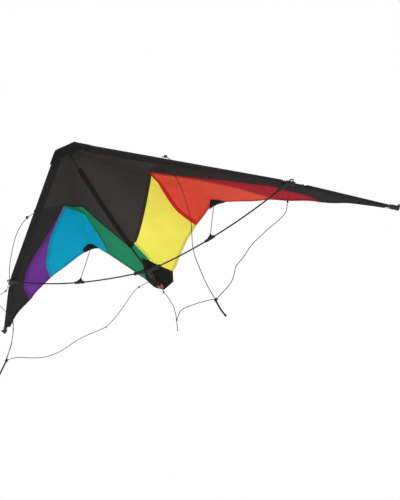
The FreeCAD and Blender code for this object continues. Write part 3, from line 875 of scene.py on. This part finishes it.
class KITE_OT_bridle(bpy.types.Operator):
    """Hangs the bridle's lines, with their knots"""
    bl_idname = "kite.bridle"
    bl_label = "Bridle"

    def line(self, name, route, diameter):
        curve = bpy.data.curves.new(name, "CURVE")
        curve.dimensions = "3D"
        spline = curve.splines.new("NURBS")
        spline.points.add(len(route) - 1)
        for point, place in zip(spline.points, route):
            point.co = (*place, 1)
        spline.order_u = 3
        spline.use_endpoint_u = True
        spline.resolution_u = 6
        curve.bevel_depth = diameter / 2
        curve.bevel_resolution = 3
        curve.use_fill_caps = True
        piece = bpy.data.objects.new(name, curve)
        bpy.context.scene.collection.objects.link(piece)
        return dress(piece, "braid")

    def execute(self, context):
        rig = context.scene.kite_rig
        for side, routes in (("right", RIGHT_BRIDLE), ("left", LEFT_BRIDLE)):
            sign = SIDES[side]
            mirror = Vector((sign, 1, 1))
            places = KNOT_PLACES[side]
            knots = {
                "upper_leg": [("hitch_knot", places["hitch"], HITCH_HEADING[side], rig.line * 1.5, 3)],
                "lower_leg": [("lower_knot", places["lower"], (0, 0.2, 1), rig.line, 5),
                              ("lower_hitch", routes["lower_leg"][0], (sign, 0.4, 1), rig.line, 3),
                              ("eye_hitch", EYE * mirror, (sign, 0.9, 0.1), rig.line * 1.1, 3)],
                "inner_leg": [("inner_knot", places["inner"], (sign, -0.4, -1.6), rig.line, 4)],
                "adjuster_line": [("adjuster_knot", routes["adjuster_line"][0], (0.1 * sign, 0, 1),
                                   rig.line * 0.8, 3)],
                "tow_pigtail": [("tow_knot", TOW_KNOT * mirror, (0.1 * sign, 0.2, 1), rig.line * 1.5, 3),
                                ("end_knot", routes["tow_pigtail"][-1], (0.3 * sign, 0.5, -1),
                                 rig.line * 1.15, 2)],
            }
            for name, route in routes.items():
                thick = rig.pigtail if name == "tow_pigtail" else rig.line
                piece = self.line(f"{side}_{name}_line", route, thick)
                tied = [wound_knot(f"{side}_{label}", *facts) for label, *facts in knots[name]]
                if name == "upper_leg":
                    along = (SPAR_BEND - SPAR_NOSE) * mirror
                    at = SPAR_NOSE * mirror + along * HITCH_AT
                    tied.append(round_sleeve(side + "_hitch_turn", at, along, rig.line))
                    if side == "right":
                        tied.append(self.line("right_hitch_loop", HITCH_LOOP, rig.line))
                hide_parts(f"{side}_{name}")
                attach(piece, side + "_wing")
                for one in tied:
                    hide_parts(side + "_bridle_knots")
                    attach(one, side + "_wing")
        return {"FINISHED"}


class KITE_OT_stage(bpy.types.Operator):
    """Sets the pale floor, the soft lights and the camera"""
    bl_idname = "kite.stage"
    bl_label = "Floor, lights and camera"

    def area_light(self, name, place, aim, size, power):
        data = bpy.data.lights.new(name, "AREA")
        data.energy, data.size = power, size
        lamp = bpy.data.objects.new(name, data)
        lamp.location = place
        lamp.rotation_euler = (Vector(aim) - Vector(place)).to_track_quat("-Z", "Y").to_euler()
        bpy.context.scene.collection.objects.link(lamp)

    def execute(self, context):
        view = context.scene.kite_view
        deselect()
        bpy.ops.mesh.primitive_plane_add(size=12, location=(0, 0, view.floor))
        floor = bpy.context.object
        floor.name = "floor"
        material, _ = shader("pale_floor", (0.85, 0.85, 0.85), 0.9)
        floor.data.materials.append(material)

        world = bpy.data.worlds.new("soft_white")
        world.use_nodes = True
        world.node_tree.nodes["Background"].inputs["Color"].default_value = (1, 1, 1, 1)
        world.node_tree.nodes["Background"].inputs["Strength"].default_value = 1.0
        context.scene.world = world
        context.scene.view_settings.view_transform = "Standard"
        self.area_light("key", (0.9, -1.5, -0.9), (0, 0, 0), 1.6, 13)
        self.area_light("fill", (-1.6, -0.4, -0.9), (-0.2, -0.1, 0), 1.6, 1)

        turn, rise, roll = view.turn, view.rise, view.roll
        forward = Vector((-math.sin(turn) * math.cos(rise), math.cos(turn) * math.cos(rise), math.sin(rise)))
        level = forward.cross(Vector((0, 0, 1))).normalized()
        upright = level.cross(forward)
        right = level * math.cos(roll) + upright * math.sin(roll)
        up = right.cross(forward)
        data = bpy.data.cameras.new("camera")
        data.sensor_fit = "VERTICAL"
        data.sensor_height = SENSOR_HEIGHT
        data.lens = LENS
        data.shift_y = SHIFT_UP
        camera = bpy.data.objects.new("camera", data)
        camera.matrix_world = Matrix((
            (right.x, up.x, -forward.x, view.place[0]),
            (right.y, up.y, -forward.y, view.place[1]),
            (right.z, up.z, -forward.z, view.place[2]),
            (0, 0, 0, 1)))
        context.scene.collection.objects.link(camera)
        context.scene.camera = camera
        return {"FINISHED"}


class KITE_PT_panel(bpy.types.Panel):
    """The kite's operators, in the sidebar"""
    bl_idname = "KITE_PT_panel"
    bl_label = "Sport kite"
    bl_space_type = "VIEW_3D"
    bl_region_type = "UI"
    bl_category = "Kite"

    def draw(self, context):
        for step in STEPS:
            self.layout.operator(step.bl_idname)
        for group in (context.scene.kite_cloth, context.scene.kite_rig, context.scene.kite_view):
            for name in group.__annotations__:
                self.layout.prop(group, name)


GROUPS = {"kite_cloth": CLOTH_PG_sizes, "kite_rig": RIG_PG_sizes, "kite_view": VIEW_PG_stage}
STEPS = [KITE_OT_sail, KITE_OT_sleeves, KITE_OT_patches, KITE_OT_frame, KITE_OT_bridle, KITE_OT_stage]


def register():
    for name, group in GROUPS.items():
        bpy.utils.register_class(group)
        setattr(bpy.types.Scene, name, PointerProperty(type=group))
    for one in [*STEPS, KITE_PT_panel]:
        bpy.utils.register_class(one)


def unregister():
    for one in reversed([*STEPS, KITE_PT_panel]):
        bpy.utils.unregister_class(one)
    for name, group in GROUPS.items():
        delattr(bpy.types.Scene, name)
        bpy.utils.unregister_class(group)


def main():
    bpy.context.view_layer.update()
    register()
    for step in ("sail", "sleeves", "patches", "frame", "bridle", "stage"):
        getattr(bpy.ops.kite, step)()


if __name__ == "__main__":
    main()
